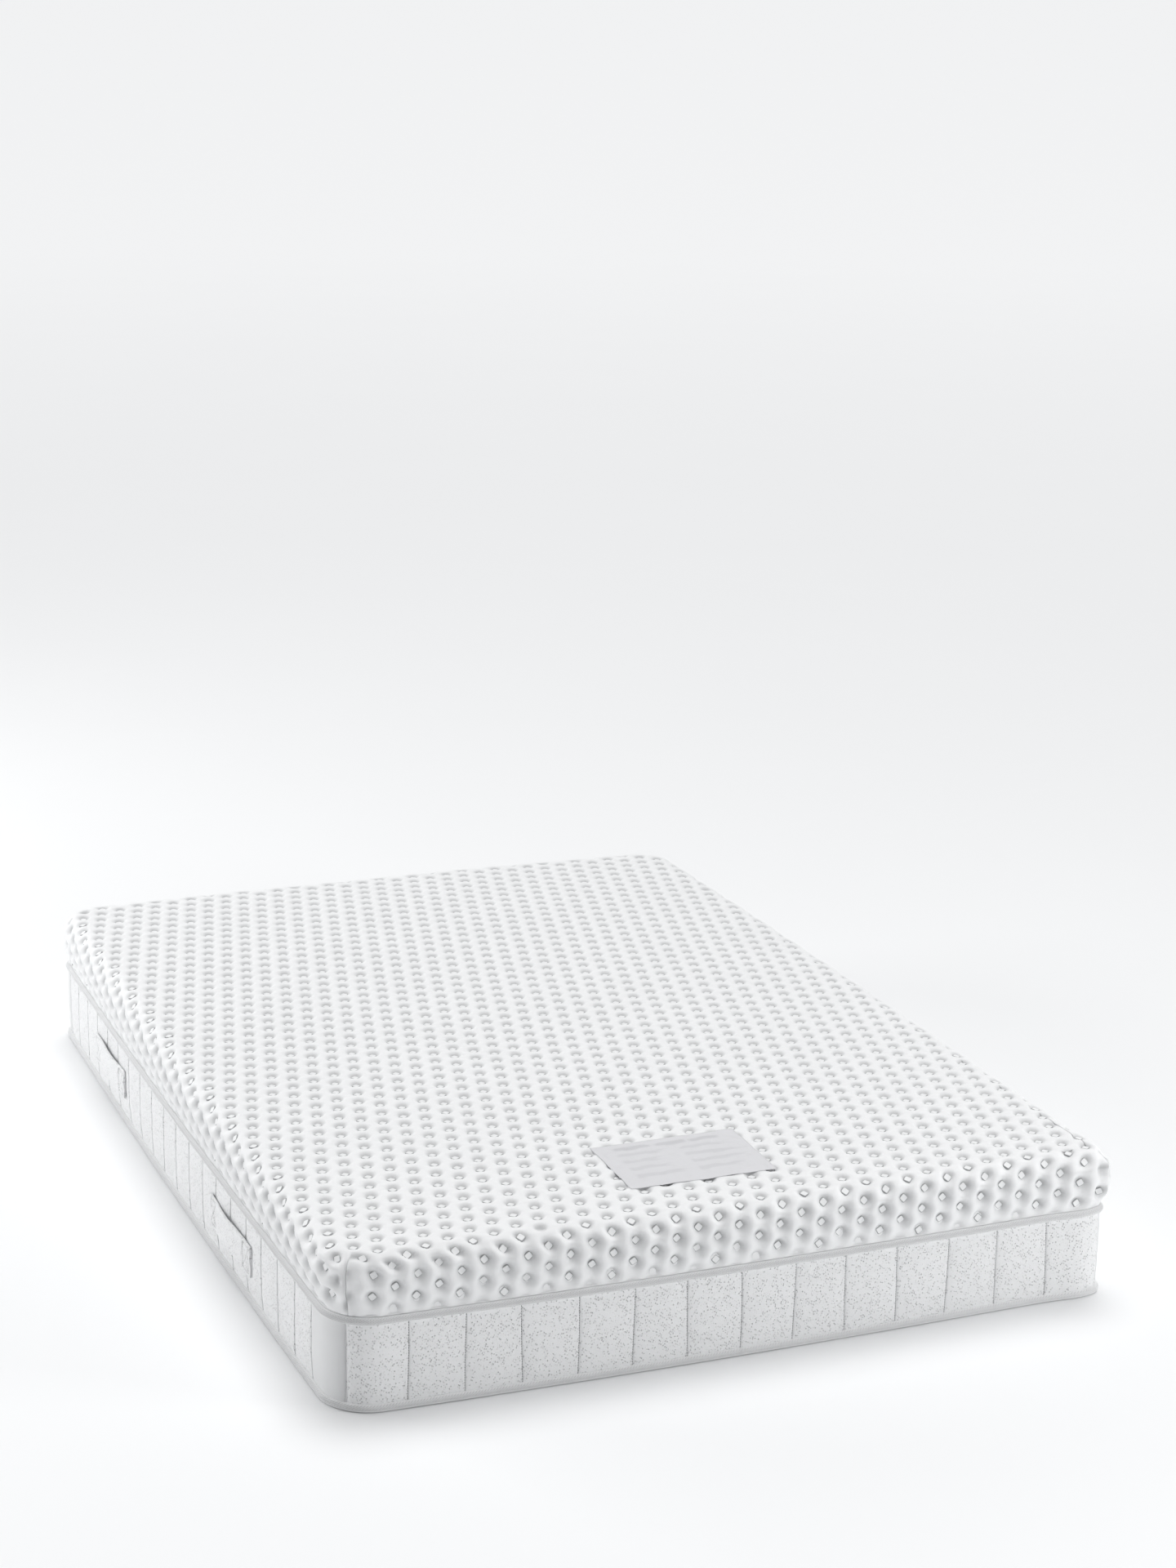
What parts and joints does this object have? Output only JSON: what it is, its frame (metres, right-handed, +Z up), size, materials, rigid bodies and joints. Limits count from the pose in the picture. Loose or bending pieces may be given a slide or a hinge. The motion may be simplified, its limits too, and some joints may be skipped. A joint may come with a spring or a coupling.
{
  "type": "memory foam mattress",
  "caption": "Double memory foam mattress: quilted base unit with carrying handles under a thick foam layer in a zip-off embossed knit cover.",
  "frame": {"origin": "on the floor, under the middle of the mattress", "axes": "+Z up, X across the width, Y along the length with the foot end at -Y"},
  "size_m": [1.373, 1.9116, 0.258],
  "materials": {
    "cover_knit": "deep-embossed padded stretch knit, matt",
    "border_knit": "pebbled quilted border knit, matt",
    "tape_twill": "diagonal twill edging tape",
    "handle_knit": "border knit over wadding, stitched",
    "label_satin": "smooth woven satin with plain grey bars",
    "lining_cloth": "plain non-woven lining cloth",
    "liner_knit": "thin stretch stockinette",
    "wadding": "loose polyester fibre",
    "support_foam": "open-cell firm foam",
    "transition_foam": "open-cell medium foam",
    "memory_foam": "fine-celled slow-recovery foam",
    "zip_tape": "woven zip tape with nylon coil",
    "zip_metal": "white enamelled die-cast metal"
  },
  "bodies": {
    "mattress_base": {"border_panel_foot": "border_knit", "border_panel_head": "border_knit", "border_panel_left": "border_knit", "border_panel_right": "border_knit", "upper_tape_edge": "tape_twill", "lower_tape_edge": "tape_twill", "underside_cloth": "lining_cloth", "platform_cloth": "lining_cloth", "border_wadding": "wadding", "support_foam_core": "support_foam", "transition_foam_layer": "transition_foam", "memory_foam_layer": "memory_foam", "foam_liner": "liner_knit", "zip_tape_lower": "zip_tape", "handle_ends_left_foot": "handle_knit", "handle_ends_left_head": "handle_knit", "handle_ends_right_foot": "handle_knit", "handle_ends_right_head": "handle_knit"},
    "top_cover": {"embossed_cover": "cover_knit", "care_label": "label_satin", "zip_tape_upper": "zip_tape"},
    "zip_slider": {"zip_slider": "zip_metal"},
    "zip_pull": {"zip_pull_tab": "zip_metal"},
    "handle_grip_left_foot": {"handle_grip_left_foot": "handle_knit"},
    "handle_grip_left_head": {"handle_grip_left_head": "handle_knit"},
    "handle_grip_right_foot": {"handle_grip_right_foot": "handle_knit"},
    "handle_grip_right_head": {"handle_grip_right_head": "handle_knit"}
  },
  "joints": [
    {"name": "cover_lift", "type": "slide", "parent": "mattress_base", "child": "top_cover", "axis": [0, 0, 1], "range_m": [0, 0.13]},
    {"name": "zip_slide", "type": "slide", "parent": "mattress_base", "child": "zip_slider", "axis": [-1, 0, 0], "range_m": [0, 0.5]},
    {"name": "zip_pull_swing", "type": "hinge", "parent": "zip_slider", "child": "zip_pull", "pos_m": [0.25, 0.9521, 0.158], "axis": [1, 0, 0], "range_deg": [0, 90]},
    {"name": "handle_pull_left_foot", "type": "slide", "parent": "mattress_base", "child": "handle_grip_left_foot", "axis": [-1, 0, 0], "range_m": [0, 0.025]},
    {"name": "handle_pull_left_head", "type": "slide", "parent": "mattress_base", "child": "handle_grip_left_head", "axis": [-1, 0, 0], "range_m": [0, 0.025]},
    {"name": "handle_pull_right_foot", "type": "slide", "parent": "mattress_base", "child": "handle_grip_right_foot", "axis": [1, 0, 0], "range_m": [0, 0.025]},
    {"name": "handle_pull_right_head", "type": "slide", "parent": "mattress_base", "child": "handle_grip_right_head", "axis": [1, 0, 0], "range_m": [0, 0.025]}
  ]
}
